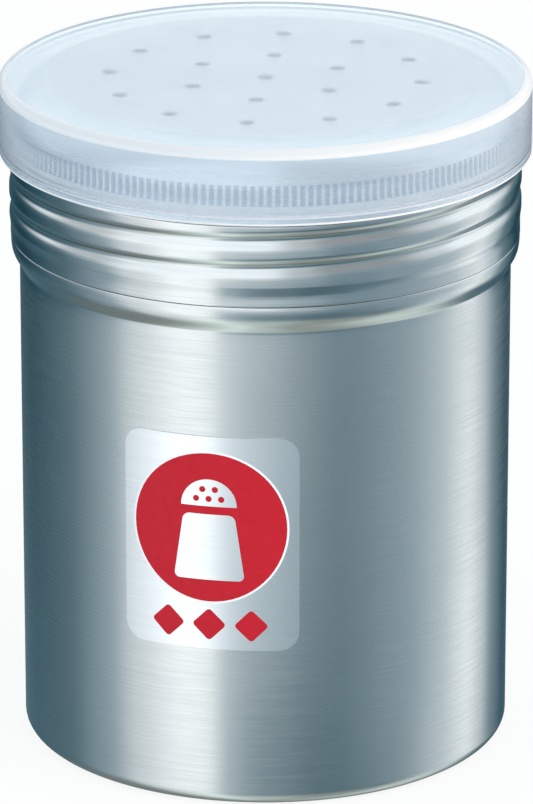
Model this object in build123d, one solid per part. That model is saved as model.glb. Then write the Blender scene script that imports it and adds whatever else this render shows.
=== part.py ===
from build123d import *
import math
import os

# A seasoning shaker can: a drawn steel can with a rolled screw neck, a one-piece
# perforated screw lid, a soft plastic dust cap over the lid, and a film label.
# Millimetres. +Z up, origin at the centre of the base, front towards -Y.

# Sheet, and the gaps that pieces keep from each other
sheet = 0.5
seat_gap = 0.25
running_gap = 0.3

# Can
body_radius = 35.25
body_corner = 2.0
base_recess = 0.8
base_ring_width = 3.6
shoulder_start = 70.3
shoulder_height = 4.8
shoulder_swell = 1.3
shoulder_bulge = 0.3
shoulder_bend = 0.55
neck_height = 18.8
rim_radius = 0.7

# Screw thread, rolled through the sheets of the lid and the neck
thread_pitch = 4.0
thread_half_turns = 4
thread_depth = 0.55
thread_width = 2.4
thread_root_width = 0.4
thread_angle = 45.0
lid_thread_start = 2.9

# Lid
lid_overhang = 0.1
lid_hem = 1.0
lid_hem_bend = 0.95
lid_step = 0.35
lid_step_drop = 9.4
lid_corner = 5.3
lid_corner_break = 30.0
lid_corner_flat = 0.1
mouth_rise = 2.9
knurl_drop = 2.9
knurl_length = 3.9
knurl_depth = 0.45
knurl_count = 200
knurl_sink = 0.05
knurl_backing_share = 0.72

# Holes in the lid: one in the middle and rings of six, twelve and so on around it
hole_radius = 1.0
hole_rings = 2
hole_ring_step = 11.2
hole_start_angle = 23.4

# Dust cap
cap_room = 0.7
cap_headroom = 1.0
cap_wall = 1.0
cap_height = 10.9
cap_corner = 1.3
cap_lip_height = 1.1

# Label
label_width = 25.5
label_height = 31.7
label_low = 23.9
label_corner = 2.8
label_film = 0.12
label_glue = 0.05
label_angle = -102.95

# Worked out from the sizes above
shoulder_radius = body_radius + shoulder_swell
shoulder_top = shoulder_start + shoulder_height
mouth_top = shoulder_top + neck_height
lid_radius = shoulder_radius + lid_overhang
lid_low = shoulder_top + seat_gap
lid_top = mouth_top - mouth_rise + lid_corner
lid_crest = lid_radius - thread_depth - sheet
band_radius = lid_radius - lid_step
neck_crest = lid_crest - running_gap
neck_inner = neck_crest - sheet - thread_depth
neck_radius = neck_inner + sheet
cap_top = lid_top + cap_headroom + cap_wall
cap_low = cap_top - cap_height
cap_inner = band_radius + cap_room


def spin(section):
    """A full turn of a section drawn as radius and height."""
    return revolve(Plane.XZ * section, Axis.Z)


def ring(inner, outer, low, high):
    """A plain ring with a square section."""
    section = Pos((inner + outer) / 2, (low + high) / 2) * Rectangle(outer - inner, high - low)
    return spin(section)


def sheet_section(outside, thickness):
    """The section of a sheet, from the line that its outside follows."""
    walls = offset(outside, amount=thickness, side=Side.LEFT, kind=Kind.INTERSECTION, closed=True)
    return make_face(walls.edges())


def helix_halves(radius, low, section_points):
    """A screw band as half turns. Its section is drawn as steps out from the radius and up from the helix."""
    path = Helix(thread_pitch, thread_pitch / 2, radius)
    section = Plane.XZ * Pos(radius, 0) * make_face(Polyline(*section_points, close=True))
    half = sweep(section, path, is_frenet=True)
    return [
        Pos(0, 0, low + number * thread_pitch / 2) * Rot(0, 0, thread_angle + 180 * number) * half
        for number in range(thread_half_turns)
    ]


def thread_groove(way):
    """The groove's section. It runs past the face of the sheet, and way is 1 outwards, -1 inwards."""
    slope = (thread_width - thread_root_width) / 2 / thread_depth
    past = sheet / 2
    mouth = thread_width / 2 + slope * past
    root = thread_root_width / 2
    depth = way * thread_depth
    return [(-way * past, -mouth), (depth, -root), (depth, root), (-way * past, mouth)]


def thread_bead(way):
    """The section of the bead that the groove raises on the sheet's other face."""
    depth = way * (thread_depth + sheet)
    root = (thread_root_width + sheet) / 2
    base = thread_width / 2 + sheet
    return [(way * sheet / 2, -base), (depth, -root), (depth, root), (way * sheet / 2, base)]


def roll_thread(shell, face_radius, low, way):
    """Rolls a thread through a sheet, from the face at face_radius towards way."""
    for bead in helix_halves(face_radius, low, thread_bead(way)):
        shell += bead
    for groove in helix_halves(face_radius, low, thread_groove(way)):
        shell -= groove
    return shell


def make_can_body():
    ring_inner = body_radius - base_ring_width
    base = Polyline((0, base_recess), (ring_inner - base_recess, base_recess), (ring_inner, 0))
    wall = FilletPolyline(
        (ring_inner, 0),
        (body_radius, 0),
        (body_radius, shoulder_start),
        radius=body_corner,
    )
    crest_low = shoulder_top - 1.2 * shoulder_bend
    shoulder = SagittaArc(wall @ 1, (shoulder_radius, crest_low), -shoulder_bulge)
    rim_height = mouth_top - rim_radius
    crest = FilletPolyline(
        (shoulder_radius, crest_low),
        (shoulder_radius, shoulder_top),
        (neck_radius, shoulder_top),
        radius=shoulder_bend,
    )
    neck = Line((neck_radius, shoulder_top), (neck_radius, rim_height))
    section = sheet_section(base + wall + shoulder + crest + neck, sheet)
    section += Pos(neck_radius - rim_radius, rim_height) * Circle(rim_radius)
    neck_thread_low = lid_low + lid_thread_start + thread_pitch / 2
    return roll_thread(spin(section), neck_inner, neck_thread_low, 1)


def knurl_flutes():
    """What the knurl rolls away: a ring whose inside is a star of ridges and valleys."""
    crest = band_radius - knurl_sink
    points = []
    for corner in range(2 * knurl_count):
        radius = crest if corner % 2 == 0 else crest - knurl_depth
        angle = math.pi * corner / knurl_count
        points.append((radius * math.cos(angle), radius * math.sin(angle)))
    star = make_face(Polyline(*points, close=True))
    flutes = extrude(Circle(band_radius + sheet) - star, knurl_length)
    return Pos(0, 0, lid_top - knurl_drop - knurl_length) * flutes


def lid_holes():
    holes = [Cylinder(hole_radius, 4 * sheet)]
    for number in range(1, hole_rings + 1):
        spots = PolarLocations(hole_ring_step * number, 6 * number, hole_start_angle)
        holes += [spot * Cylinder(hole_radius, 4 * sheet) for spot in spots]
    return [Pos(0, 0, lid_top) * hole for hole in holes]


def make_shaker_lid():
    step_low = lid_top - lid_step_drop
    step_high = step_low + lid_step
    skirt = FilletPolyline(
        (lid_radius - lid_hem, lid_low),
        (lid_radius, lid_low),
        (lid_radius, step_low),
        radius=lid_hem_bend,
    )
    step = Line((lid_radius, step_low), (band_radius, step_high))
    # The corner in two bends, so that the knurl's teeth end within the lower one
    low_turn = lid_corner * math.tan(math.radians(lid_corner_break / 2))
    high_turn = lid_corner * math.tan(math.radians(45 - lid_corner_break / 2))
    crown = FilletPolyline(
        (band_radius, step_high),
        (band_radius, lid_top - lid_corner + low_turn),
        (band_radius - lid_corner + high_turn, lid_top),
        (0, lid_top),
        radius=lid_corner - lid_corner_flat,
    )
    shell = spin(sheet_section(skirt + step + crown, sheet))
    shell = roll_thread(shell, lid_radius, lid_low + lid_thread_start, -1)
    knurl_low = lid_top - knurl_drop - knurl_length
    backing_top = knurl_low + knurl_backing_share * knurl_length
    shell += ring(lid_crest, band_radius - sheet / 2, knurl_low - sheet, backing_top)
    return shell - knurl_flutes() - lid_holes()


def make_dust_cap():
    outside = FilletPolyline(
        (cap_inner + cap_wall, cap_low),
        (cap_inner + cap_wall, cap_top),
        (0, cap_top),
        radius=cap_corner,
    )
    shell = spin(sheet_section(outside, cap_wall))
    return shell + ring(band_radius + running_gap, cap_inner + cap_wall / 2, cap_low, cap_low + cap_lip_height)


def make_label():
    """A film round the can's side, cut from a thin ring by a rounded block."""
    chord = 2 * body_radius * math.sin(label_width / 2 / body_radius)
    film_inner = body_radius + label_glue
    film = ring(film_inner, film_inner + label_film, label_low, label_low + label_height)
    outline = Plane.YZ * RectangleRounded(chord, label_height, label_corner)
    block = Pos(0, 0, label_low + label_height / 2) * extrude(outline, 2 * body_radius)
    return film & Rot(0, 0, label_angle) * block


parts = {
    "can_body": make_can_body(),
    "shaker_lid": make_shaker_lid(),
    "dust_cap": make_dust_cap(),
    "label": make_label(),
}

os.makedirs("parts", exist_ok=True)
for name, solid in parts.items():
    export_step(solid, f"parts/{name}.step")
    print(name, round(solid.volume, 2))
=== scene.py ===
import math

import bpy
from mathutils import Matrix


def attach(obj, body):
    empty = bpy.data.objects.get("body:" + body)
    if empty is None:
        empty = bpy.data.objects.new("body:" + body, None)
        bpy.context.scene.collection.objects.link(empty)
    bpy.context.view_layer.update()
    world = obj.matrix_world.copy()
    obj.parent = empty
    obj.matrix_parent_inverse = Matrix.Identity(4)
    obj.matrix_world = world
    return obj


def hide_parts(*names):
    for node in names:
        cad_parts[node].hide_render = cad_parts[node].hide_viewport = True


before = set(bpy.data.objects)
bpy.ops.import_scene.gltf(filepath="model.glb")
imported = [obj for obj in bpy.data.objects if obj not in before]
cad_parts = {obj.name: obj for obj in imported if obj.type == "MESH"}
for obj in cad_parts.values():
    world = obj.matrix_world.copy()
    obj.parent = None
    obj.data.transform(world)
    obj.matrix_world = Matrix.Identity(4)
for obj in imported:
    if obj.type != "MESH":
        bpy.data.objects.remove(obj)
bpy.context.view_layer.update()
mm = 0.001
print("frame loaded")


# Camera and studio

cameraSetup = {
    "place": (0.0, -0.853, 0.34963),
    "tiltDown": 19.44,
    "lens": 279.7,
    "shiftRight": 0.00137,
}


def clearSelection():
    if bpy.context.object and bpy.context.object.mode != "OBJECT":
        bpy.ops.object.mode_set(mode="OBJECT")
    bpy.ops.object.select_all(action="DESELECT")


def placeCamera():
    clearSelection()
    tilt = math.radians(90 - cameraSetup["tiltDown"])
    bpy.ops.object.camera_add(location=cameraSetup["place"], rotation=(tilt, 0, 0))
    camera = bpy.context.object
    camera.data.lens = cameraSetup["lens"]
    camera.data.shift_x = cameraSetup["shiftRight"]
    bpy.context.scene.camera = camera


def addNode(tree, kind, feeds=None, **settings):
    made = tree.nodes.new("ShaderNode" + kind)
    for name, value in settings.items():
        setattr(made, name, value)
    for socket, source in (feeds or {}).items():
        if isinstance(source, bpy.types.NodeSocket):
            tree.links.new(source, made.inputs[socket])
        else:
            made.inputs[socket].default_value = source
    return made


def fillRamp(ramp, stops):
    band = ramp.color_ramp
    while len(band.elements) > 1:
        band.elements.remove(band.elements[-1])
    for number, (place, colour) in enumerate(stops):
        stop = band.elements[0] if number == 0 else band.elements.new(place)
        stop.position = place
        stop.color = (*colour, 1)


worldSetup = {
    "backgroundLevel": 1.0,
    "roomLevel": 0.8,
    "roomColour": (0.9, 0.96, 1.0, 1),
}


# One where the camera, a reflection or a see-through piece looks, so that the white is only seen
def seenRays(tree):
    rays = addNode(tree, "LightPath")
    seen = addNode(tree, "Math", {0: rays.outputs["Is Camera Ray"], 1: rays.outputs["Is Glossy Ray"]},
                   operation="MAXIMUM")
    return addNode(tree, "Math", {0: seen.outputs[0], 1: rays.outputs["Is Transmission Ray"]},
                   operation="MAXIMUM")


def makeWorld():
    world = bpy.data.worlds.new("paleRoom")
    bpy.context.scene.world = world
    world.use_nodes = True
    tree = world.node_tree
    tree.nodes.clear()
    seen = seenRays(tree)
    room = addNode(tree, "Background", {"Color": worldSetup["roomColour"],
                                        "Strength": worldSetup["roomLevel"]})
    white = addNode(tree, "Background", {"Color": (1, 1, 1, 1),
                                         "Strength": worldSetup["backgroundLevel"]})
    pick = addNode(tree, "MixShader", {0: seen.outputs[0], 1: room.outputs[0], 2: white.outputs[0]})
    addNode(tree, "OutputWorld", {"Surface": pick.outputs[0]})


# Rings of light round the studio dome, from below to above. Each has its height as a share of the radius,
# its tint, and the light at degrees round from the front, positive to the right.
domeSetup = {
    "radius": 0.8,
    "rings": [
        (-0.8, "olive", [
            (-180, 0.3), (-110, 0.25), (-82, 0.28), (-54, 0.8), (-30, 1.15), (-10, 0.72), (5, 0.66),
            (30, 0.42), (59, 0.4), (94, 0.85), (115, 0.85), (140, 0.35), (180, 0.3)
        ]),
        (-0.52, "cool", [
            (-180, 0.12), (-110, 0.17), (-82, 0.38), (-54, 0.96), (-30, 1.15), (-17, 0.43),
            (0, 0.22), (30, 0.155), (59, 0.2), (94, 0.72), (110, 0.76), (130, 0.16), (180, 0.12)
        ]),
        (-0.34, "cool", [
            (-180, 0.22), (-142, 0.155), (-122, 0.175), (-105, 0.2), (-78, 0.43), (-60, 0.93),
            (-38, 1.46), (-27, 1.36), (-17, 0.54), (-6, 0.295), (8, 0.205), (20, 0.14), (34, 0.2),
            (46, 0.31), (58, 0.43), (72, 0.46), (90, 0.73), (102, 1.14), (110, 1.38), (122, 1.0),
            (134, 0.3), (154, 0.08), (180, 0.22)
        ]),
        (-0.22, "cool", [
            (-180, 0.13), (-138, 0.05), (-122, 0.085), (-105, 0.145), (-88, 0.26), (-78, 0.38),
            (-60, 0.9), (-38, 1.36), (-27, 1.28), (-17, 0.77), (-6, 0.65), (8, 0.56), (20, 0.48),
            (34, 0.35), (46, 0.34), (58, 0.4), (72, 0.42), (90, 0.55), (102, 0.82), (110, 0.95),
            (122, 0.62), (134, 0.19), (154, 0.05), (180, 0.13)
        ]),
        (0.16, "cool", [
            (-180, 0.12), (-135, 0.1), (-105, 0.26), (-82, 0.58), (-60, 1.25), (-30, 1.4), (0, 1.3),
            (14, 0.75), (30, 0.42), (58, 0.44), (80, 0.85), (94, 1.35), (110, 1.35), (124, 0.8),
            (140, 0.2), (180, 0.12)
        ]),
        (0.34, "sky", [
            (-180, 1.28), (-120, 1.15), (-95, 0.7), (-82, 0.7), (-60, 1.25), (-30, 1.35), (0, 1.25),
            (14, 0.7), (30, 0.42), (58, 0.42), (80, 0.85), (96, 1.3), (120, 1.2), (180, 1.28)
        ]),
    ],
    "throughShare": 0.38,  # how much of the soft light is mixed into what shows through the cap
    "throughSide": (0.78, 0.9, 1.0),
    "throughTop": (1.2, 1.27, 1.33),
    "topFrom": -0.1,
    "topTo": 0.3,
}

# How far red lies below the light of a ring, and blue above it, by its level
coolTint = [
    (0, 0.0, 0.0), (0.075, 0.06, 0.035), (0.165, 0.08, 0.035), (0.33, 0.095, 0.055),
    (0.54, 0.1, 0.05), (0.88, 0.06, 0.03), (1.09, 0.03, 0.0), (2, 0.0, 0.0),
]
plainTints = {"olive": (0.89, 1, 0.94), "sky": (0.95, 1, 1.04)}


def tinted(level, tint):
    if tint in plainTints:
        return tuple(level * share for share in plainTints[tint])
    for (low, lowRed, lowBlue), (high, highRed, highBlue) in zip(coolTint, coolTint[1:]):
        if level <= high:
            share = (level - low) / (high - low)
            red = level - lowRed - (highRed - lowRed) * share
            blue = level + lowBlue + (highBlue - lowBlue) * share
            return (red, level, blue)
    return (level, level, level)


def makeDome():
    clearSelection()
    bpy.ops.mesh.primitive_uv_sphere_add(segments=48, ring_count=24, radius=domeSetup["radius"])
    dome = bpy.context.object
    dome.name = "studioDome"
    material = bpy.data.materials.new("studioLight")
    material.use_nodes = True
    tree = material.node_tree
    tree.nodes.clear()
    place = addNode(tree, "TexCoord")
    turned = addNode(tree, "Mapping", {"Vector": place.outputs["Object"], "Rotation": (0, 0, math.pi / 2)})
    around = addNode(tree, "TexGradient", {"Vector": turned.outputs[0]}, gradient_type="RADIAL")
    way = addNode(tree, "VectorMath", {0: place.outputs["Object"]}, operation="NORMALIZE")
    split = addNode(tree, "SeparateXYZ", {0: way.outputs[0]})
    lit = None
    lastHeight = None
    for height, tint, stops in domeSetup["rings"]:
        ring = addNode(tree, "ValToRGB", {"Fac": around.outputs["Fac"]})
        fillRamp(ring, [((angle + 180) / 360, tinted(level, tint)) for angle, level in stops])
        ring.color_ramp.interpolation = "EASE"
        if lit is None:
            lit = ring.outputs[0]
        else:
            share = addNode(tree, "MapRange", {"Value": split.outputs["Z"], "From Min": lastHeight,
                                               "From Max": height})
            lit = addNode(tree, "MixRGB", {"Fac": share.outputs[0], 1: lit, 2: ring.outputs[0]}).outputs[0]
        lastHeight = height
    rays = addNode(tree, "LightPath")
    through = addNode(tree, "Math", {0: rays.outputs["Is Transmission Ray"], 1: domeSetup["throughShare"]},
                      operation="MULTIPLY")
    overhead = addNode(tree, "MapRange", {"Value": split.outputs["Z"], "From Min": domeSetup["topFrom"],
                                          "From Max": domeSetup["topTo"]})
    soft = addNode(tree, "MixRGB", {"Fac": overhead.outputs[0], 1: (*domeSetup["throughSide"], 1),
                                    2: (*domeSetup["throughTop"], 1)})
    light = addNode(tree, "MixRGB", {"Fac": through.outputs[0], 1: lit, 2: soft.outputs[0]})
    glow = addNode(tree, "Emission", {"Color": light.outputs[0]})
    addNode(tree, "OutputMaterial", {"Surface": glow.outputs[0]})
    dome.data.materials.append(material)
    dome.visible_camera = False
    dome.visible_diffuse = False
    dome.visible_shadow = False


studioSetup = {
    "floorSize": 6.0,
    "floorColour": (0.97, 0.97, 0.97, 1),
    "floorWhite": 0.86,
    "lamps": {
        "softLamp": {"place": (0.9, -0.8, 1.5), "size": 1.4, "power": 9.0, "colour": (1, 1, 1)},
        "sideLamp": {"place": (1.7, -0.55, 0.25), "size": 0.6, "power": 12.0, "colour": (1, 0.76, 0.57)},
        "fillLamp": {"place": (-1.4, -0.9, 0.8), "size": 0.6, "power": 4.0, "colour": (0.65, 0.82, 1)},
    },
}


def makeFloor():
    clearSelection()
    bpy.ops.mesh.primitive_plane_add(size=studioSetup["floorSize"], location=(0, 0, 0))
    floor = bpy.context.object
    floor.name = "paleFloor"
    material = bpy.data.materials.new("floorPaint")
    material.use_nodes = True
    paint = material.node_tree.nodes["Principled BSDF"]
    paint.inputs["Base Color"].default_value = studioSetup["floorColour"]
    paint.inputs["Roughness"].default_value = 0.9
    paint.inputs["Specular IOR Level"].default_value = 0.0
    tree = material.node_tree
    seen = addNode(tree, "Math", {0: seenRays(tree).outputs[0], 1: studioSetup["floorWhite"]},
                   operation="MULTIPLY")
    white = addNode(tree, "Emission", {"Color": (1, 1, 1, 1)})
    pick = addNode(tree, "MixShader", {0: seen.outputs[0], 1: paint.outputs[0], 2: white.outputs[0]})
    tree.links.new(pick.outputs[0], tree.nodes["Material Output"].inputs["Surface"])
    floor.data.materials.append(material)
    floor.visible_glossy = False


def makeLamps():
    for name, look in studioSetup["lamps"].items():
        clearSelection()
        bpy.ops.object.light_add(type="AREA", location=look["place"])
        lamp = bpy.context.object
        lamp.name = name
        lamp.data.size = look["size"]
        lamp.data.energy = look["power"]
        lamp.data.color = look["colour"]
        lamp.visible_glossy = False
        away = -lamp.location
        lamp.rotation_euler = away.to_track_quat("-Z", "Y").to_euler()


placeCamera()
makeWorld()
makeDome()
makeFloor()
makeLamps()
bpy.context.scene.view_settings.view_transform = "Standard"
print("camera and studio ready")


# Hand tools that the pieces share

def holdOnly(piece):
    clearSelection()
    piece.select_set(True)
    bpy.context.view_layer.objects.active = piece


def nameIt(name):
    piece = bpy.context.object
    piece.name = name
    piece.data.name = name
    return piece


def settle(piece):
    holdOnly(piece)
    bpy.ops.object.transform_apply(location=True, rotation=True, scale=True)


def applyAll(piece):
    holdOnly(piece)
    for modifier in list(piece.modifiers):
        bpy.ops.object.modifier_apply(modifier=modifier.name)


# A turned piece starts as a ring of edges, which pullRings extrudes along its stations of radius and height
def startRing(name, columns, radius, height):
    clearSelection()
    bpy.ops.mesh.primitive_circle_add(vertices=columns, radius=radius * mm, location=(0, 0, height * mm))
    piece = nameIt(name)
    settle(piece)
    bpy.ops.object.mode_set(mode="EDIT")
    bpy.ops.mesh.select_mode(type="VERT")
    bpy.ops.mesh.select_all(action="SELECT")
    return piece


def pullRings(stations):
    radius, height = stations[0]
    for nextRadius, nextHeight in stations[1:]:
        bpy.ops.mesh.extrude_edges_indiv()
        scale = nextRadius / radius
        bpy.ops.transform.resize(value=(scale, scale, 1), center_override=(0, 0, 0))
        bpy.ops.transform.translate(value=(0, 0, (nextHeight - height) * mm))
        radius, height = nextRadius, nextHeight


def closePole():
    bpy.ops.mesh.extrude_edges_indiv()
    bpy.ops.mesh.merge(type="CENTER")


def outwards(piece):
    holdOnly(piece)
    bpy.ops.object.mode_set(mode="EDIT")
    bpy.ops.mesh.select_all(action="SELECT")
    bpy.ops.mesh.normals_make_consistent(inside=False)
    bpy.ops.object.mode_set(mode="OBJECT")


def arc(centre, radius, fromAngle, toAngle, steps):
    stations = []
    for number in range(steps + 1):
        angle = math.radians(fromAngle + (toAngle - fromAngle) * number / steps)
        stations.append((centre[0] + radius * math.cos(angle), centre[1] + radius * math.sin(angle)))
    return stations


def rows(radius, low, high, step):
    count = max(1, round(abs(high - low) / step))
    return [(radius, low + (high - low) * number / count) for number in range(count + 1)]


def thicken(piece, thickness):
    wall = piece.modifiers.new("wall", "SOLIDIFY")
    wall.thickness = thickness * mm
    wall.offset = -1
    wall.use_even_offset = True
    applyAll(piece)


def smooth(piece, angle):
    holdOnly(piece)
    bpy.ops.object.shade_smooth_by_angle(angle=math.radians(angle))


# Presses a helical thread into the wall at faceRadius, outwards for way 1 and inwards for -1. Its shape
# holds shares of the depth by height above the helix, and its fades hold shares by degrees along it.
def rollThread(piece, thread, way):
    group = piece.vertex_groups.new(name="thread")
    for vertex in piece.data.vertices:
        x, y, z = (value / mm for value in vertex.co)
        if abs(math.hypot(x, y) - thread["faceRadius"]) > thread["reach"]:
            continue
        turn = math.degrees(math.atan2(y, x)) / 360
        nearest = turn + round((z - thread["heightAtZero"]) / thread["pitch"] - turn)
        above = z - thread["heightAtZero"] - thread["pitch"] * nearest
        depth = along(thread["shape"], above) * along(thread["fades"], nearest * 360)
        if depth > 0.001:
            group.add([vertex.index], depth, "REPLACE")
    roll = piece.modifiers.new("roll", "DISPLACE")
    roll.vertex_group = "thread"
    roll.direction = "NORMAL"
    roll.mid_level = 0
    roll.strength = way * thread["depth"] * mm
    applyAll(piece)
    piece.vertex_groups.clear()


def along(stations, place):
    if place <= stations[0][0] or place >= stations[-1][0]:
        return 0
    for (start, startShare), (end, endShare) in zip(stations, stations[1:]):
        if place <= end:
            return startShare + (endShare - startShare) * (place - start) / (end - start)
    return 0


# Can

canSizes = {
    "radius": 35.25,
    "sheet": 0.5,
    "corner": 2.0,
    "wallHeights": (69.8, 45, 20),
    "recess": 0.8,
    "foot": [(31.85, 0), (31.65, 0.05), (30.95, 0.76)],
    "panelRadii": (30.65, 20, 8, 1),
    "shoulderRadius": 36.42,
    "shoulderTop": 75.1,
    "shoulder": [
        (36.44, 74.8), (36.46, 74.5), (36.44, 74.0), (36.39, 73.5), (36.31, 73.1), (36.16, 72.7),
        (35.93, 72.3), (35.67, 71.87), (35.43, 71.45), (35.31, 71.2), (35.26, 71.08), (35.25, 71.0),
        (35.25, 70.6),
    ],
    "bend": 0.16,
    "neckRadius": 34.75,
    "neckTop": 92.8,
    "neckStep": 0.136,
    "rimRadius": 0.7,
    "rimHeight": 93.2,
    "columns": 240,
    "thread": {
        "faceRadius": 34.75,
        "reach": 0.01,
        "heightAtZero": 79.75,
        "pitch": 4.0,
        "depth": 0.55,
        "shape": [
            (-1.1, 0), (-0.9, 0.19), (-0.7, 0.46), (-0.5, 0.7), (-0.3, 0.89), (0, 1), (0.3, 0.89),
            (0.5, 0.7), (0.7, 0.46), (0.9, 0.19), (1.1, 0),
        ],
        "fades": [(30, 0), (75, 1), (735, 1), (780, 0)],
    },
}


def makeCanBody():
    size = canSizes
    bend = size["bend"]
    rimCentre = (size["neckRadius"] - size["rimRadius"], size["rimHeight"])
    route = arc(rimCentre, size["rimRadius"], 280, 0, 20)
    route += rows(size["neckRadius"], size["neckTop"], size["shoulderTop"] + bend, size["neckStep"])
    route += arc((size["neckRadius"] + bend, size["shoulderTop"] + bend), bend, 180, 270, 5)
    route += arc((size["shoulderRadius"] - bend, size["shoulderTop"] - bend), bend, 90, 0, 6)
    route += size["shoulder"]
    route += [(size["radius"], height) for height in size["wallHeights"]]
    route += arc((size["radius"] - size["corner"], size["corner"]), size["corner"], 0, -90, 10)
    route += size["foot"]
    route += [(radius, size["recess"]) for radius in size["panelRadii"]]
    piece = startRing("canBody", size["columns"], *route[0])
    pullRings(route)
    closePole()
    outwards(piece)
    rollThread(piece, size["thread"], 1)
    thicken(piece, size["sheet"])
    smooth(piece, 30)
    return piece


# Shaker lid

lidSizes = {
    "radius": 36.65,
    "sheet": 0.5,
    "low": 75.17,
    "hem": 1.0,
    "hemBend": 0.12,
    "skirt": [
        (36.5, 75.4), (36.49, 76.0), (36.49, 76.4), (36.505, 76.8), (36.545, 77.2), (36.595, 77.6),
        (36.635, 77.9),
    ],
    "threadLow": 78.0,
    "threadHigh": 86.8,
    "threadStep": 0.115,
    "step": [(36.63, 86.9), (36.33, 87.23), (36.3, 87.35), (36.3, 89.55)],
    "bandRadius": 36.3,
    "bandStep": 0.5,
    "corner": 5.6,
    "top": 96.6,
    "panelRadii": (26, 15, 6, 1.5),
    "columns": 200,
    "thread": {
        "faceRadius": 36.65,
        "reach": 0.25,
        "heightAtZero": 77.75,
        "pitch": 4.0,
        "depth": 0.55,
        "shape": [
            (-2.0, 0), (-1.6, 0.01), (-1.3, 0.04), (-1.1, 0.1), (-0.9, 0.2), (-0.7, 0.36), (-0.5, 0.56),
            (-0.3, 0.77), (-0.15, 0.87), (0, 0.9), (0.2, 0.87), (0.4, 0.79), (0.6, 0.66), (0.8, 0.48),
            (1.0, 0.27), (1.2, 0.1), (1.4, 0.02), (1.6, 0),
        ],
        "fades": [(-100, 0), (0, 0.27), (90, 1), (760, 1), (812, 0)],
    },
    "holeRadius": 1.1,
    "holeRingStep": 11.2,
    "holeStart": 23.4,
    "punchLength": 4,
    "knurlCount": 200,
    "knurlLow": 89.8,
    "knurlHigh": 92.1,
    "knurlDepth": 0.19,
    "knurlCuts": 5,
    "knurlBelow": 0.05,
    "knurlAbove": 0.35,
    "knurlReach": 0.1,
    "knurlEase": 0.5,
    "ridgeSink": 0.03,
    "valleySlope": 1.5,
}


def makeShakerLid():
    size = lidSizes
    hemBend = size["hemBend"]
    centre = (size["bandRadius"] - size["corner"], size["top"] - size["corner"])
    route = [(size["radius"] - size["hem"], size["low"])]
    route += arc((size["skirt"][0][0] - hemBend, size["low"] + hemBend), hemBend, -90, 0, 5)
    for (radius, height), (nextRadius, nextHeight) in zip(size["skirt"], size["skirt"][1:]):
        for third in (0, 1 / 3, 2 / 3):
            route.append((radius + (nextRadius - radius) * third, height + (nextHeight - height) * third))
    route += rows(size["radius"], size["threadLow"], size["threadHigh"], size["threadStep"])
    route += size["step"]
    route += rows(size["bandRadius"], size["knurlLow"], centre[1], size["bandStep"])
    route += arc(centre, size["corner"], 6, 90, 14)
    route += [(radius, size["top"]) for radius in size["panelRadii"]]
    piece = startRing("shakerLid", size["columns"], *route[0])
    pullRings(route)
    closePole()
    outwards(piece)
    rollThread(piece, size["thread"], -1)
    thicken(piece, size["sheet"])
    rollKnurl(piece, size)
    punchHoles(piece, size)
    smooth(piece, 32)
    return piece


# Splits the level edges of the knurled band, then presses valleys between the ridges
def rollKnurl(piece, size):
    holdOnly(piece)
    inBand = [onKnurl(size, *reachAndHeight(vertex)) for vertex in piece.data.vertices]
    bpy.ops.object.mode_set(mode="EDIT")
    bpy.ops.mesh.select_mode(type="EDGE")
    bpy.ops.mesh.select_all(action="DESELECT")
    bpy.ops.object.mode_set(mode="OBJECT")
    vertices = piece.data.vertices
    for edge in piece.data.edges:
        first, second = edge.vertices
        level = abs(vertices[first].co.z - vertices[second].co.z) < 0.01 * mm
        edge.select = inBand[first] and inBand[second] and level
    bpy.ops.object.mode_set(mode="EDIT")
    bpy.ops.mesh.subdivide(number_cuts=size["knurlCuts"])
    bpy.ops.object.mode_set(mode="OBJECT")
    group = piece.vertex_groups.new(name="valleys")
    for vertex in piece.data.vertices:
        radius, height = reachAndHeight(vertex)
        if not onKnurl(size, radius, height):
            continue
        phase = math.degrees(math.atan2(vertex.co.y, vertex.co.x)) * size["knurlCount"] / 360
        fromRidge = abs(phase - round(phase)) * 2
        valley = min(1, size["valleySlope"] * fromRidge)
        valleyRadius = size["bandRadius"] - size["ridgeSink"] - size["knurlDepth"] * valley
        ease = min(1, max(0, (height - size["knurlLow"] + size["knurlBelow"]) / size["knurlEase"]))
        push = max(0, radius - valleyRadius) * ease
        if push > 0.001:
            group.add([vertex.index], min(1, push / size["knurlDepth"]), "REPLACE")
    roll = piece.modifiers.new("knurl", "DISPLACE")
    roll.vertex_group = "valleys"
    roll.mid_level = 0
    roll.strength = -size["knurlDepth"] * mm
    applyAll(piece)
    piece.vertex_groups.clear()


def reachAndHeight(vertex):
    return math.hypot(vertex.co.x, vertex.co.y) / mm, vertex.co.z / mm


def onKnurl(size, radius, height):
    if not size["knurlLow"] - size["knurlBelow"] < height < size["knurlHigh"] + size["knurlAbove"]:
        return False
    return abs(radius - outerWall(size, height)) < size["knurlReach"]


def outerWall(size, height):
    rise = height - (size["top"] - size["corner"])
    if rise <= 0:
        return size["bandRadius"]
    return size["bandRadius"] - size["corner"] + math.sqrt(max(0, size["corner"] ** 2 - rise ** 2))


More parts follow.
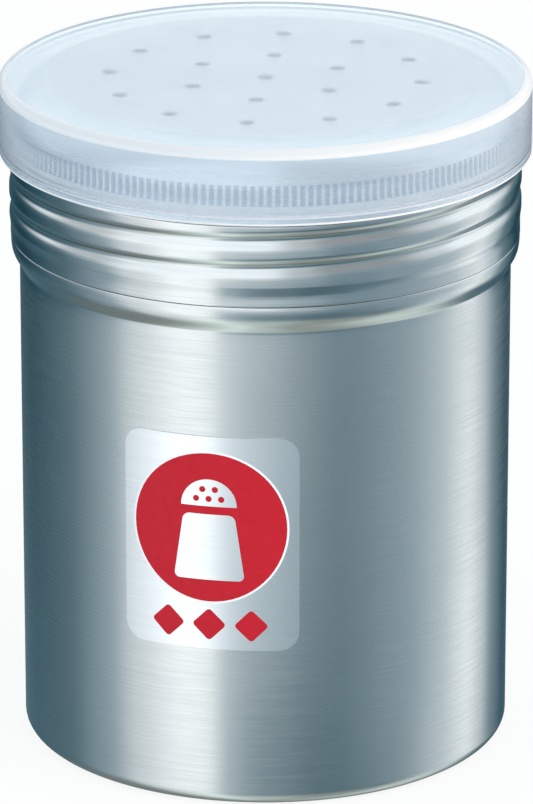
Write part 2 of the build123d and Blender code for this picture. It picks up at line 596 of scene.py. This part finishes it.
def punchHoles(piece, size):
    clearSelection()
    bpy.ops.mesh.primitive_cylinder_add(vertices=28, radius=size["holeRadius"] * mm,
                                        depth=size["punchLength"] * mm, location=(0, 0, size["top"] * mm))
    punch = nameIt("punch")
    settle(punch)
    punches = [punch]
    for ring in (1, 2):
        for number in range(6 * ring):
            angle = math.radians(size["holeStart"] + number * 60 / ring)
            reach = size["holeRingStep"] * ring * mm
            holdOnly(punch)
            bpy.ops.object.duplicate()
            copy = bpy.context.object
            copy.location = (reach * math.cos(angle), reach * math.sin(angle), 0)
            punches.append(copy)
    clearSelection()
    for each in punches:
        each.select_set(True)
    bpy.context.view_layer.objects.active = punch
    bpy.ops.object.join()
    settle(punch)
    cut = piece.modifiers.new("holes", "BOOLEAN")
    cut.operation = "DIFFERENCE"
    cut.solver = "EXACT"
    cut.object = punch
    applyAll(piece)
    bpy.data.objects.remove(punch)


# Dust cap

capSizes = {
    "inner": 37.0,
    "outer": 37.98,
    "roof": 97.0,
    "top": 98.28,
    "low": 87.42,
    "corner": 1.3,
    "innerCorner": 0.3,
    "lipInner": 36.6,
    "lipRise": 1.2,
    "lip": [(0.12, 1.0), (0, 0.8), (0, 0.25), (0.15, 0)],  # steps out from the lip and up from the edge
    "edge": 0.2,
    "hemRise": 0.3,
    "hemTop": 1.5,
    "hemStep": 0.1,
    "wallRise": 4,
    "topRadii": (36.5, 33, 20, 6, 1),
    "roofRadii": (33, 20, 6, 1),
    "columns": 240,
}

# The milky skin lies a hair outside the clear shell
capCoat = {"inner": 37.03, "outer": 38.0, "roof": 97.03, "top": 98.3, "low": 87.4, "lipInner": 36.63}


def makeCapShell(name, size):
    outer = size["outer"]
    low = size["low"]
    corner = size["corner"]
    innerCorner = size["innerCorner"]
    edge = size["edge"]
    start = (size["inner"], low + size["lipRise"])
    outside = [start]
    outside += [(size["lipInner"] + out, low + up) for out, up in size["lip"]]
    outside += [(outer - edge, low)]
    outside += arc((outer - edge, low + edge), edge, -60, 0, 3)
    outside += rows(outer, low + size["hemRise"], low + size["hemTop"], size["hemStep"])[1:]
    outside += [(outer, low + size["wallRise"])]
    outside += arc((outer - corner, size["top"] - corner), corner, 0, 90, 10)
    outside += [(radius, size["top"]) for radius in size["topRadii"]]
    inside = [start, (size["inner"], low + size["wallRise"])]
    inside += arc((size["inner"] - innerCorner, size["roof"] - innerCorner), innerCorner, 0, 90, 6)
    inside += [(radius, size["roof"]) for radius in size["roofRadii"]]
    piece = startRing(name, size["columns"], *start)
    pullRings(outside)
    closePole()
    bpy.ops.mesh.select_all(action="DESELECT")
    bpy.ops.object.mode_set(mode="OBJECT")
    for vertex in piece.data.vertices:  # back to the first ring, for the inside
        radius, height = reachAndHeight(vertex)
        vertex.select = abs(height - start[1]) < 0.001 and abs(radius - start[0]) < 0.01
    bpy.ops.object.mode_set(mode="EDIT")
    pullRings(inside)
    closePole()
    outwards(piece)
    smooth(piece, 40)
    return piece


# Label and its print

labelSizes = {
    "surface": 35.3,
    "film": 0.12,
    "width": 25.5,
    "low": 23.9,
    "height": 31.7,
    "corner": 2.8,
    "turn": -12.95,
    "ink": 0.012,
    "column": 0.7,
    "discRadius": 11.05,
    "discHeight": 42.1,
    "outline": 0.3,
    "markHeight": 27.6,
    "markSize": 3.5,
    "markCorner": 0.5,
    "markGap": 6.0,
}

# The shaker mark, with heights from the middle of the disc
iconSizes = {
    "width": 10.2,
    "height": 9.8,
    "drop": 2.9,
    "topShare": 0.72,
    "corner": 0.9,
    "domeRadius": 4.0,
    "domeRise": 3.2,
    "dotRadius": 0.45,
    "dots": ((-1.8, 4.3), (0, 4.3), (1.8, 4.3), (-0.9, 5.7), (0.9, 5.7)),
}


def flatSheet(name, width, height, centre):
    clearSelection()
    bpy.ops.mesh.primitive_plane_add(size=1, rotation=(math.pi / 2, 0, 0))
    piece = nameIt(name)
    piece.scale = (width * mm, height * mm, 1)
    settle(piece)
    piece.location = (centre[0] * mm, 0, centre[1] * mm)
    settle(piece)
    return piece


def flatDisc(name, radius, centre, steps=64):
    clearSelection()
    bpy.ops.mesh.primitive_circle_add(vertices=steps, radius=radius * mm, fill_type="NGON",
                                      rotation=(math.pi / 2, 0, 0),
                                      location=(centre[0] * mm, 0, centre[1] * mm))
    piece = nameIt(name)
    settle(piece)
    return piece


def roundCorners(piece, radius, steps):
    holdOnly(piece)
    bpy.ops.object.mode_set(mode="EDIT")
    bpy.ops.mesh.select_all(action="SELECT")
    bpy.ops.mesh.bevel(offset=radius * mm, segments=steps, affect="VERTICES")
    bpy.ops.object.mode_set(mode="OBJECT")


def joinAll(pieces, name):
    clearSelection()
    for each in pieces:
        each.select_set(True)
    bpy.context.view_layer.objects.active = pieces[0]
    bpy.ops.object.join()
    return nameIt(name)


# Cuts a flat shape into columns, thickens it, bends it round the can and turns it to its place
def wrapRound(piece, lift, thickness):
    size = labelSizes
    holdOnly(piece)
    xs = [vertex.co.x for vertex in piece.data.vertices]
    low, high = min(xs), max(xs)
    bpy.ops.object.mode_set(mode="EDIT")
    column = math.ceil(low / (size["column"] * mm))
    while column * size["column"] * mm < high:
        bpy.ops.mesh.select_all(action="SELECT")
        bpy.ops.mesh.bisect(plane_co=(column * size["column"] * mm, 0, 0), plane_no=(1, 0, 0))
        column += 1
    bpy.ops.object.mode_set(mode="OBJECT")
    piece.location = (0, -lift * mm, 0)
    settle(piece)
    film = piece.modifiers.new("film", "SOLIDIFY")
    film.thickness = thickness * mm
    film.offset = 1
    applyAll(piece)
    bend = piece.modifiers.new("bend", "SIMPLE_DEFORM")
    bend.deform_method = "BEND"
    bend.deform_axis = "Z"
    bend.angle = (high - low) / (size["surface"] * mm)
    applyAll(piece)
    piece.location = (0, -size["surface"] * mm, 0)
    settle(piece)
    piece.rotation_euler = (0, 0, math.radians(size["turn"]))
    settle(piece)
    smooth(piece, 30)


def makeLabel():
    size = labelSizes
    middle = size["low"] + size["height"] / 2
    film = flatSheet("labelFilm", size["width"], size["height"], (0, middle))
    roundCorners(film, size["corner"], 10)
    wrapRound(film, 0, size["film"])
    return film


def makeIcon(middle):
    icon = iconSizes
    body = flatSheet("icon", icon["width"], icon["height"], (0, middle - icon["drop"]))
    holdOnly(body)
    bpy.ops.object.mode_set(mode="EDIT")
    bpy.ops.mesh.select_all(action="DESELECT")
    bpy.ops.object.mode_set(mode="OBJECT")
    for vertex in body.data.vertices:
        vertex.select = vertex.co.z > middle * mm
    bpy.ops.object.mode_set(mode="EDIT")
    bpy.ops.transform.resize(value=(icon["topShare"], 1, 1), center_override=(0, 0, middle * mm))
    bpy.ops.object.mode_set(mode="OBJECT")
    roundCorners(body, icon["corner"], 5)
    domeHeight = middle + icon["domeRise"]
    dome = flatDisc("iconDome", icon["domeRadius"], (0, domeHeight), 40)
    holdOnly(dome)
    bpy.ops.object.mode_set(mode="EDIT")
    bpy.ops.mesh.select_all(action="SELECT")
    bpy.ops.mesh.bisect(plane_co=(0, 0, domeHeight * mm), plane_no=(0, 0, 1), clear_inner=True)
    bpy.ops.object.mode_set(mode="OBJECT")
    return joinAll([body, dome], "shakerMark")


def makeLozenge(across):
    size = labelSizes
    mark = flatSheet("mark", size["markSize"], size["markSize"], (0, 0))
    mark.rotation_euler = (0, math.radians(45), 0)
    mark.location = (across * mm, 0, size["markHeight"] * mm)
    settle(mark)
    roundCorners(mark, size["markCorner"], 4)
    return mark


# The outline is white, the disc on it red, the mark on that bare film, and the dots on that red
def makePrint():
    size = labelSizes
    lift = size["film"]
    ink = size["ink"]
    middle = size["discHeight"]
    ring = flatDisc("discOutline", size["discRadius"] + size["outline"], (0, middle))
    wrapRound(ring, lift, ink)
    red = flatDisc("redDisc", size["discRadius"], (0, middle))
    wrapRound(red, lift + ink, ink)
    icon = makeIcon(middle)
    wrapRound(icon, lift + 2 * ink, ink)
    dots = [flatDisc("dot", iconSizes["dotRadius"], (x, middle + z), 20) for x, z in iconSizes["dots"]]
    markDots = joinAll(dots, "shakerMarkHoles")
    wrapRound(markDots, lift + 3 * ink, ink)
    redMarks = joinAll([makeLozenge(step * size["markGap"]) for step in (-1, 0, 1)], "redMarks")
    wrapRound(redMarks, lift, ink)
    return [ring], [icon], [red, markDots, redMarks]


canBody = makeCanBody()
print("can body done", len(canBody.data.polygons))
shakerLid = makeShakerLid()
print("shaker lid done", len(shakerLid.data.polygons))
dustCap = makeCapShell("dustCap", capSizes)
capSkin = makeCapShell("capSkin", {**capSizes, **capCoat})
print("dust cap done", len(dustCap.data.polygons))
labelFilm = makeLabel()
whitePrint, barePrint, redPrint = makePrint()
print("label done")


# Finishes

def newFinish(name):
    material = bpy.data.materials.new(name)
    material.use_nodes = True
    tree = material.node_tree
    tree.nodes.clear()
    shader = addNode(tree, "BsdfPrincipled")
    addNode(tree, "OutputMaterial", {"Surface": shader.outputs[0]})
    return material, tree, shader


def startGroup(name, numbers, results):
    group = bpy.data.node_groups.new(name, "ShaderNodeTree")
    sockets = group.interface
    sockets.new_socket("Place", in_out="INPUT", socket_type="NodeSocketVector")
    for number in numbers:
        sockets.new_socket(number, in_out="INPUT", socket_type="NodeSocketFloat")
    for result in results:
        sockets.new_socket(result, in_out="OUTPUT", socket_type="NodeSocketFloat")
    return group, group.nodes.new("NodeGroupInput")


def endGroup(group, **results):
    out = group.nodes.new("NodeGroupOutput")
    for name, node in results.items():
        group.links.new(node.outputs[0], out.inputs[name])
    return group


def useGroup(tree, group, place, **numbers):
    used = tree.nodes.new("ShaderNodeGroup")
    used.node_tree = group
    tree.links.new(place.outputs["Object"], used.inputs["Place"])
    for name, value in numbers.items():
        used.inputs[name].default_value = value
    return used


# Turns round the axis, from -0.5 to 0.5
def turnsRound(tree, split):
    angle = addNode(tree, "Math", {0: split.outputs["Y"], 1: split.outputs["X"]}, operation="ARCTAN2")
    return addNode(tree, "Math", {0: angle.outputs[0], 1: 2 * math.pi}, operation="DIVIDE")


def pastWhole(tree, number):
    whole = addNode(tree, "Math", {0: number.outputs[0]}, operation="ROUND")
    return addNode(tree, "Math", {0: number.outputs[0], 1: whole.outputs[0]}, operation="SUBTRACT")


brushLook = {
    "wideScale": 0.3,
    "wideShare": 0.5,
    "streaksFrom": 0.5,
    "streaksTo": 1.0,
    "cloudScale": 60.0,
    "cloudsFrom": 0.3,
    "cloudsTo": 0.7,
}


def makeBrushGroup():
    look = brushLook
    group, put = startGroup("brushMarks", ("Around", "Up"), ("Streaks", "Clouds"))
    stretch = addNode(group, "CombineXYZ", {0: put.outputs["Around"], 1: put.outputs["Around"],
                                            2: put.outputs["Up"]})
    fine = addNode(group, "VectorMath", {0: put.outputs["Place"], 1: stretch.outputs[0]},
                   operation="MULTIPLY")
    wide = addNode(group, "VectorMath", {0: fine.outputs[0], "Scale": look["wideScale"]}, operation="SCALE")
    fineNoise = addNode(group, "TexNoise", {"Vector": fine.outputs[0], "Scale": 1.0, "Detail": 3.0})
    wideNoise = addNode(group, "TexNoise", {"Vector": wide.outputs[0], "Scale": 1.0, "Detail": 2.0})
    both = addNode(group, "Math", {0: wideNoise.outputs["Fac"], 1: look["wideShare"],
                                   2: fineNoise.outputs["Fac"]}, operation="MULTIPLY_ADD")
    streaks = addNode(group, "MapRange", {"Value": both.outputs[0], "From Min": look["streaksFrom"],
                                          "From Max": look["streaksTo"]})
    cloudNoise = addNode(group, "TexNoise", {"Vector": put.outputs["Place"], "Scale": look["cloudScale"],
                                             "Detail": 3.0})
    clouds = addNode(group, "MapRange", {"Value": cloudNoise.outputs["Fac"], "From Min": look["cloudsFrom"],
                                         "From Max": look["cloudsTo"]})
    return endGroup(group, Streaks=streaks, Clouds=clouds)


brushMarks = makeBrushGroup()

steelLook = {
    "dark": (0.60, 0.64, 0.65, 1),
    "light": (0.74, 0.765, 0.77, 1),
    "streakShare": 0.75,
    "cloudShare": 0.25,
    "roughLow": 0.22,
    "roughHigh": 0.34,
    "anisotropic": 0.7,
    "turn": 0.25,
    "around": 150.0,
    "up": 12000.0,
    "bump": 0.2,
    "bumpDepth": 0.003,
}

# Shares of the roughness by height, in a span of 100 mm
polishSpan = 100
canPolish = [(0, 0.82), (66, 1.05), (69.5, 1.0), (70.8, 0.72)]
lidPolish = [(76, 0.62), (86.8, 0.62), (87.5, 0.9)]

# Painted shade: a dark colour laid along the creases of the lid's thread, where shade falls
grooveLook = {
    "crease": 0.6,
    "width": 0.24,
    "paintedShade": 0.5,
    "colour": (0.05, 0.07, 0.07, 1),
    "low": 77.6,
    "high": 86.6,
    "fade": 0.8,
}

# Painted shade for the valleys of the knurl
knurlLook = {
    "shade": 0.6,
    "colour": (0.2, 0.3, 0.4, 1),
    "runOut": 0.6,
    "ridge": 0.12,
    "valley": 0.3,
}


# Painted shade along a crease of the screw thread
def makeGrooveGroup():
    group, put = startGroup("grooveGrime", ("Start", "Pitch", "Crease", "Width"), ("Grime",))
    split = addNode(group, "SeparateXYZ", {0: put.outputs["Place"]})
    turn = turnsRound(group, split)
    above = addNode(group, "Math", {0: split.outputs["Z"], 1: put.outputs["Start"]}, operation="SUBTRACT")
    turns = addNode(group, "Math", {0: above.outputs[0], 1: put.outputs["Pitch"]}, operation="DIVIDE")
    part = pastWhole(group, addNode(group, "Math", {0: turns.outputs[0], 1: turn.outputs[0]},
                                    operation="SUBTRACT"))
    away = addNode(group, "Math", {0: part.outputs[0], 1: put.outputs["Pitch"]}, operation="MULTIPLY")
    off = addNode(group, "Math", {0: away.outputs[0], 1: put.outputs["Crease"]}, operation="SUBTRACT")
    near = addNode(group, "Math", {0: off.outputs[0]}, operation="ABSOLUTE")
    paintedShade = addNode(group, "MapRange", {"Value": near.outputs[0], "From Min": put.outputs["Width"],
                                        "From Max": 0.0})
    return endGroup(group, Grime=paintedShade)


# Paints the crease shade into the lid steel's colour, only within the threaded heights
def addGrime(tree, place, height, colour):
    look = grooveLook
    thread = lidSizes["thread"]
    groove = useGroup(tree, makeGrooveGroup(), place, Start=thread["heightAtZero"] * mm,
                      Pitch=thread["pitch"] * mm, Crease=look["crease"] * mm, Width=look["width"] * mm)
    above = addNode(tree, "MapRange", {"Value": height.outputs["Z"], "From Min": look["low"] * mm,
                                       "From Max": (look["low"] + look["fade"]) * mm})
    below = addNode(tree, "MapRange", {"Value": height.outputs["Z"], "From Min": look["high"] * mm,
                                       "From Max": (look["high"] - look["fade"]) * mm})
    zone = addNode(tree, "Math", {0: above.outputs[0], 1: below.outputs[0]}, operation="MULTIPLY")
    grooveShade = addNode(tree, "Math", {0: groove.outputs["Grime"], 1: zone.outputs[0]}, operation="MULTIPLY")
    grooveShade = addNode(tree, "Math", {0: grooveShade.outputs[0], 1: look["paintedShade"]}, operation="MULTIPLY")
    return addNode(tree, "MixRGB", {"Fac": grooveShade.outputs[0], 1: colour.outputs[0], 2: look["colour"]})


# 1 in the valleys of the knurl and 0 on its ridges
def makeKnurlGroup():
    group, put = startGroup("knurlCrests", ("Count", "Low", "High"), ("Valley",))
    split = addNode(group, "SeparateXYZ", {0: put.outputs["Place"]})
    turn = turnsRound(group, split)
    part = pastWhole(group, addNode(group, "Math", {0: turn.outputs[0], 1: put.outputs["Count"]},
                                    operation="MULTIPLY"))
    away = addNode(group, "Math", {0: part.outputs[0]}, operation="ABSOLUTE")
    valley = addNode(group, "MapRange", {"Value": away.outputs[0], "From Min": knurlLook["ridge"],
                                         "From Max": knurlLook["valley"]})
    above = addNode(group, "Math", {0: split.outputs["Z"], 1: put.outputs["Low"]}, operation="GREATER_THAN")
    below = addNode(group, "Math", {0: split.outputs["Z"], 1: put.outputs["High"]}, operation="LESS_THAN")
    zone = addNode(group, "Math", {0: above.outputs[0], 1: below.outputs[0]}, operation="MULTIPLY")
    shown = addNode(group, "Math", {0: valley.outputs[0], 1: zone.outputs[0]}, operation="MULTIPLY")
    return endGroup(group, Valley=shown)


# Painted shade: darkens the steel's colour in the valleys between the knurl ridges
def addKnurlShade(tree, place, colour):
    look = knurlLook
    size = lidSizes
    knurl = useGroup(tree, makeKnurlGroup(), place, Count=size["knurlCount"], Low=size["knurlLow"] * mm,
                     High=(size["knurlHigh"] + look["runOut"]) * mm)
    valleyShade = addNode(tree, "Math", {0: knurl.outputs["Valley"], 1: look["shade"]}, operation="MULTIPLY")
    return addNode(tree, "MixRGB", {"Fac": valleyShade.outputs[0], 1: colour.outputs[0], 2: look["colour"]})


# The grain runs round the axis, and polish sets how rough each height is
def makeSteel(name, polish, withPaintedShade=False):
    look = steelLook
    material, tree, shader = newFinish(name)
    place = addNode(tree, "TexCoord")
    marks = useGroup(tree, brushMarks, place, Around=look["around"], Up=look["up"])
    blend = addNode(tree, "Math", {0: marks.outputs["Streaks"], 1: look["streakShare"]},
                    operation="MULTIPLY")
    blend = addNode(tree, "Math", {0: marks.outputs["Clouds"], 1: look["cloudShare"], 2: blend.outputs[0]},
                    operation="MULTIPLY_ADD")
    colour = addNode(tree, "MixRGB", {"Fac": blend.outputs[0], 1: look["dark"], 2: look["light"]})
    height = addNode(tree, "SeparateXYZ", {0: place.outputs["Object"]})
    # painted shade in the thread creases and in the knurl valleys
    if withPaintedShade:
        colour = addGrime(tree, place, height, colour)
        colour = addKnurlShade(tree, place, colour)
    tree.links.new(colour.outputs[0], shader.inputs["Base Color"])
    rough = addNode(tree, "MapRange", {"Value": marks.outputs["Streaks"], "To Min": look["roughHigh"],
                                       "To Max": look["roughLow"]})
    rise = addNode(tree, "MapRange", {"Value": height.outputs["Z"], "From Max": polishSpan * mm})
    share = addNode(tree, "ValToRGB", {"Fac": rise.outputs[0]})
    fillRamp(share, [(level / polishSpan, (amount, amount, amount)) for level, amount in polish])
    polished = addNode(tree, "Math", {0: rough.outputs[0], 1: share.outputs[0]}, operation="MULTIPLY")
    tree.links.new(polished.outputs[0], shader.inputs["Roughness"])
    shader.inputs["Metallic"].default_value = 1.0
    addGrain(tree, shader, look)
    bump = addNode(tree, "Bump", {"Height": marks.outputs["Streaks"], "Strength": look["bump"],
                                  "Distance": look["bumpDepth"] * mm})
    tree.links.new(bump.outputs[0], shader.inputs["Normal"])
    return material


def addGrain(tree, shader, look):
    shader.inputs["Anisotropic"].default_value = look["anisotropic"]
    shader.inputs["Anisotropic Rotation"].default_value = look["turn"]
    grain = addNode(tree, "Tangent", direction_type="RADIAL", axis="Z")
    tree.links.new(grain.outputs[0], shader.inputs["Tangent"])


capLook = {
    "colour": (0.96, 0.985, 0.995, 1),
    "shade": (0.94, 0.975, 0.99, 1),
    "softScale": 45.0,
    "grainScale": 3500.0,
    "roughLow": 0.11,
    "roughHigh": 0.14,
    "ior": 1.45,
}


def makeFrosted():
    look = capLook
    material, tree, shader = newFinish("frostedPlastic")
    place = addNode(tree, "TexCoord")
    soft = addNode(tree, "TexNoise", {"Vector": place.outputs["Object"], "Scale": look["softScale"],
                                      "Detail": 2.0})
    colour = addNode(tree, "MixRGB", {"Fac": soft.outputs["Fac"], 1: look["colour"], 2: look["shade"]})
    tree.links.new(colour.outputs[0], shader.inputs["Base Color"])
    grain = addNode(tree, "TexNoise", {"Vector": place.outputs["Object"], "Scale": look["grainScale"],
                                       "Detail": 2.0})
    rough = addNode(tree, "MapRange", {"Value": grain.outputs["Fac"], "From Min": 0.3, "From Max": 0.7,
                                       "To Min": look["roughLow"], "To Max": look["roughHigh"]})
    tree.links.new(rough.outputs[0], shader.inputs["Roughness"])
    shader.inputs["Transmission Weight"].default_value = 1.0
    shader.inputs["IOR"].default_value = look["ior"]
    return material


# How much of the milky skin shows: by height on the side, and by radius on the flat top. The near-white
# bands on the side are painted highlights, and the side's darker colour is painted shade
skinLook = {
    "edgeHighlightColour": (0.83, 0.85, 0.86, 1),
    "flatColour": (0.65, 0.78, 0.89, 1),
    # painted shade: the side of the cap gets a darker blue than its top
    "shadedSkirtColour": (0.46, 0.59, 0.77, 1),
    "flatShare": 0.32,
    "edgeShare": 0.5,
    "edgeRadius": 31.5,
    "edgeSpread": 1.5,
    "rimRadius": 36.95,
    "rimSpread": 0.2,
    "sideFrom": 37.4,  # no skin on the inner faces: inside this radius and below this height
    "sideTo": 37.5,
    "topFrom": 97.5,
    "topTo": 97.7,
    "whiteFrom": 0.3,
    "whiteTo": 0.9,
    "roughness": 0.4,
    "shine": 0.2,
    # near-white at the bottom edge, the lip line and the top rim: painted highlights
    "shares": [
        (87.4, 1.0), (87.72, 1.0), (87.82, 0.34), (88.33, 0.34), (88.43, 0.7), (88.56, 0.7), (88.66, 0.32),
        (94.0, 0.32), (96.8, 0.42), (96.95, 0.9), (98.3, 0.92),
    ],
}


def makeMilky():
    look = skinLook
    material, tree, shader = newFinish("milkySkin")
    place = addNode(tree, "TexCoord")
    split = addNode(tree, "SeparateXYZ", {0: place.outputs["Object"]})
    flat = addNode(tree, "CombineXYZ", {0: split.outputs["X"], 1: split.outputs["Y"]})
    reach = addNode(tree, "VectorMath", {0: flat.outputs[0]}, operation="LENGTH").outputs["Value"]
    rim = addNode(tree, "MapRange", {"Value": reach,
                                     "From Min": (look["rimRadius"] - look["rimSpread"]) * mm,
                                     "From Max": look["rimRadius"] * mm})
    low, high = look["shares"][0][0], look["shares"][-1][0]
    rise = addNode(tree, "MapRange", {"Value": split.outputs["Z"], "From Min": low * mm,
                                      "From Max": high * mm})
    bands = addNode(tree, "ValToRGB", {"Fac": rise.outputs[0]})
    stops = [((level - low) / (high - low), (share, share, share)) for level, share in look["shares"]]
    fillRamp(bands, stops)
    edge = addNode(tree, "MapRange", {"Value": reach, "To Min": look["flatShare"],
                                      "To Max": look["edgeShare"],
                                      "From Min": (look["edgeRadius"] - look["edgeSpread"]) * mm,
                                      "From Max": (look["edgeRadius"] + look["edgeSpread"]) * mm},
                   interpolation_type="SMOOTHSTEP")
    share = addNode(tree, "MapRange", {"Value": rim.outputs[0], "To Min": edge.outputs[0],
                                       "To Max": bands.outputs[0]})
    side = addNode(tree, "MapRange", {"Value": reach, "From Min": look["sideFrom"] * mm,
                                      "From Max": look["sideTo"] * mm})
    top = addNode(tree, "MapRange", {"Value": split.outputs["Z"], "From Min": look["topFrom"] * mm,
                                     "From Max": look["topTo"] * mm})
    outside = addNode(tree, "Math", {0: side.outputs[0], 1: top.outputs[0]}, operation="MAXIMUM")
    facing = addNode(tree, "NewGeometry")
    front = addNode(tree, "Math", {0: 1.0, 1: facing.outputs["Backfacing"]}, operation="SUBTRACT")
    shown = addNode(tree, "Math", {0: outside.outputs[0], 1: front.outputs[0]}, operation="MULTIPLY")
    alpha = addNode(tree, "Math", {0: share.outputs[0], 1: shown.outputs[0]}, operation="MULTIPLY")
    tree.links.new(alpha.outputs[0], shader.inputs["Alpha"])
    # Painted highlight: the skin turns near-white where its share on the side is high
    edgeHighlight = addNode(tree, "MapRange", {"Value": bands.outputs[0], "From Min": look["whiteFrom"],
                                       "From Max": look["whiteTo"]})
    white = addNode(tree, "Math", {0: edgeHighlight.outputs[0], 1: rim.outputs[0]}, operation="MULTIPLY")
    tint = addNode(tree, "MixRGB", {"Fac": rim.outputs[0], 1: look["flatColour"], 2: look["shadedSkirtColour"]})
    colour = addNode(tree, "MixRGB", {"Fac": white.outputs[0], 1: tint.outputs[0], 2: look["edgeHighlightColour"]})
    tree.links.new(colour.outputs[0], shader.inputs["Base Color"])
    shader.inputs["Roughness"].default_value = look["roughness"]
    shader.inputs["Specular IOR Level"].default_value = look["shine"]
    return material


filmLook = {
    "dark": (0.80, 0.84, 0.87, 1),
    "light": (0.88, 0.91, 0.93, 1),
    "metallic": 0.97,
    "roughLow": 0.26,
    "roughHigh": 0.34,
    "anisotropic": 0.6,
    "turn": 0.25,
}


def makeFilm():
    look = filmLook
    material, tree, shader = newFinish("silverFilm")
    place = addNode(tree, "TexCoord")
    marks = useGroup(tree, brushMarks, place, Around=steelLook["around"], Up=steelLook["up"])
    colour = addNode(tree, "MixRGB", {"Fac": marks.outputs["Streaks"], 1: look["dark"], 2: look["light"]})
    tree.links.new(colour.outputs[0], shader.inputs["Base Color"])
    rough = addNode(tree, "MapRange", {"Value": marks.outputs["Streaks"], "To Min": look["roughHigh"],
                                       "To Max": look["roughLow"]})
    tree.links.new(rough.outputs[0], shader.inputs["Roughness"])
    shader.inputs["Metallic"].default_value = look["metallic"]
    addGrain(tree, shader, look)
    return material


inkLooks = {
    "redInk": {"colour": (0.58, 0.006, 0.022, 1), "shade": (0.54, 0.005, 0.018, 1)},
    "whiteInk": {"colour": (0.96, 0.965, 0.97, 1), "shade": (0.93, 0.94, 0.95, 1)},
}
inkSurface = {"mottleScale": 900.0, "roughLow": 0.42, "roughHigh": 0.5, "shine": 0.25}


def makeInk(name):
    look = inkLooks[name]
    material, tree, shader = newFinish(name)
    place = addNode(tree, "TexCoord")
    mottle = addNode(tree, "TexNoise", {"Vector": place.outputs["Object"],
                                        "Scale": inkSurface["mottleScale"], "Detail": 3.0})
    spread = addNode(tree, "MapRange", {"Value": mottle.outputs["Fac"], "From Min": 0.35, "From Max": 0.65})
    colour = addNode(tree, "MixRGB", {"Fac": spread.outputs[0], 1: look["colour"], 2: look["shade"]})
    tree.links.new(colour.outputs[0], shader.inputs["Base Color"])
    rough = addNode(tree, "MapRange", {"Value": mottle.outputs["Fac"], "To Min": inkSurface["roughLow"],
                                       "To Max": inkSurface["roughHigh"]})
    tree.links.new(rough.outputs[0], shader.inputs["Roughness"])
    shader.inputs["Specular IOR Level"].default_value = inkSurface["shine"]
    return material


def finish(piece, material, body, slot, *nodes):
    piece.data.materials.clear()
    piece.data.materials.append(material)
    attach(piece, body)
    if nodes:
        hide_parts(*nodes)


finish(canBody, makeSteel("canSteel", canPolish), "can", "can_steel", "can_body")
finish(shakerLid, makeSteel("lidSteel", lidPolish, True), "lid", "lid_steel", "shaker_lid")
finish(dustCap, makeFrosted(), "cap", "cap_plastic", "dust_cap")
finish(capSkin, makeMilky(), "cap", "cap_plastic")
silverFilm = makeFilm()
finish(labelFilm, silverFilm, "can", "label_film", "label")
printed = [(whitePrint, makeInk("whiteInk")), (barePrint, silverFilm), (redPrint, makeInk("redInk"))]
for pieces, material in printed:
    for piece in pieces:
        finish(piece, material, "can", "label_film")
print("finishes done")
